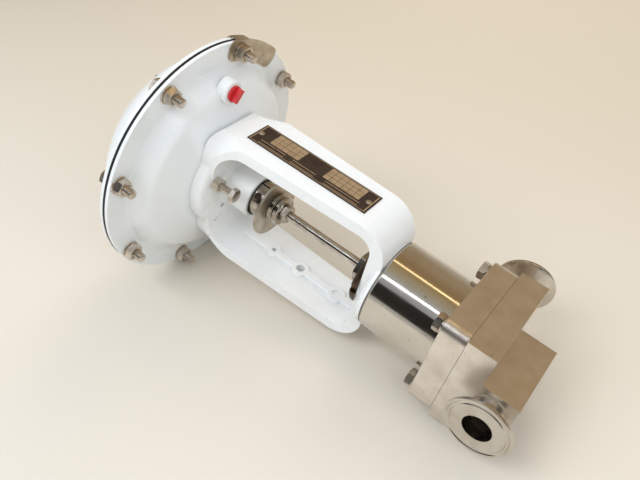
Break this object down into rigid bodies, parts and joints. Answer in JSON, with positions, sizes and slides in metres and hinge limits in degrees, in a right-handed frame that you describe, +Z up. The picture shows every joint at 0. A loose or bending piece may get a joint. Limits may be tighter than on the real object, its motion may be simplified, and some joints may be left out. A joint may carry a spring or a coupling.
{
  "type": "diaphragm operated sanitary control valve",
  "caption": "Block bodied sanitary control valve with offset clamp ports, polished bonnet, open cast yoke and a spring closed diaphragm actuator.",
  "frame": {"origin": "centre of the underside of the resting box, with the valve lying on its casing rim and on one edge of its body", "axes": "+X from the actuator towards the body, +Z up from the resting surface, -Y out of the inlet port; the stem lies in the XZ plane and climbs 12.46 degrees from the body to the actuator"},
  "size_m": [0.3932, 0.2206, 0.2172],
  "materials": {
    "white_paint": "gloss powder coat, white",
    "machined_steel": "milled and satin polished stainless steel",
    "polished_steel": "mirror polished stainless steel",
    "bolt_steel": "plain stainless fasteners",
    "stem_steel": "ground and polished",
    "turned_steel": "turned stainless steel",
    "dark_steel": "dark oxide finish",
    "plate_steel": "rolled sheet, dull",
    "nameplate_brown": "dark brown printed plate, left without text",
    "red_plastic": "moulded plastic, red",
    "black_rubber": "fabric backed rubber",
    "white_ptfe": "PTFE",
    "bronze": "bearing bronze",
    "spring_steel": "spring steel",
    "grey_plastic": "moulded vent"
  },
  "bodies": {
    "frame": {"valve_body": "machined_steel", "inlet_ferrule": "polished_steel", "outlet_ferrule": "polished_steel", "body_gasket": "white_ptfe", "bonnet_flange": "machined_steel", "bonnet_barrel": "polished_steel", "stem_guide_bush": "bronze", "body_bolts": "bolt_steel", "body_washers": "bolt_steel", "packing_spring": "spring_steel", "packing_rings": "white_ptfe", "packing_follower": "turned_steel", "gland_nut": "turned_steel", "yoke_nut": "dark_steel", "yoke": "white_paint", "nameplate": "nameplate_brown", "nameplate_rivets": "bolt_steel", "travel_stop_screw": "bolt_steel", "travel_stop_nut": "bolt_steel", "lower_casing": "white_paint", "upper_casing": "white_paint", "vent_cap": "grey_plastic", "diaphragm": "black_rubber", "casing_bolts": "bolt_steel", "casing_washers": "bolt_steel", "casing_nuts": "bolt_steel", "casing_screws": "bolt_steel", "stem_bush": "bronze", "stem_seal": "black_rubber", "actuator_spring": "spring_steel", "spring_seat": "plate_steel", "air_plug": "red_plastic", "tag": "plate_steel"},
    "stem": {"valve_plug": "stem_steel", "valve_stem": "stem_steel", "stem_connector": "turned_steel", "connector_screw": "bolt_steel", "adjusting_collar": "turned_steel", "indicator_disc": "plate_steel", "ring_nuts": "turned_steel", "jam_nut": "turned_steel", "actuator_stem": "stem_steel", "diaphragm_washer": "plate_steel", "diaphragm_plate": "plate_steel", "stem_lock_nut": "plate_steel"}
  },
  "joints": [
    {"name": "stem_travel", "type": "slide", "parent": "frame", "child": "stem", "axis": [-0.9765, 0, 0.2157], "range_m": [0, 0.014], "stiffness_N_per_m": 9000, "springref_m": -0.012, "deforming": ["actuator_spring", "diaphragm"]}
  ]
}
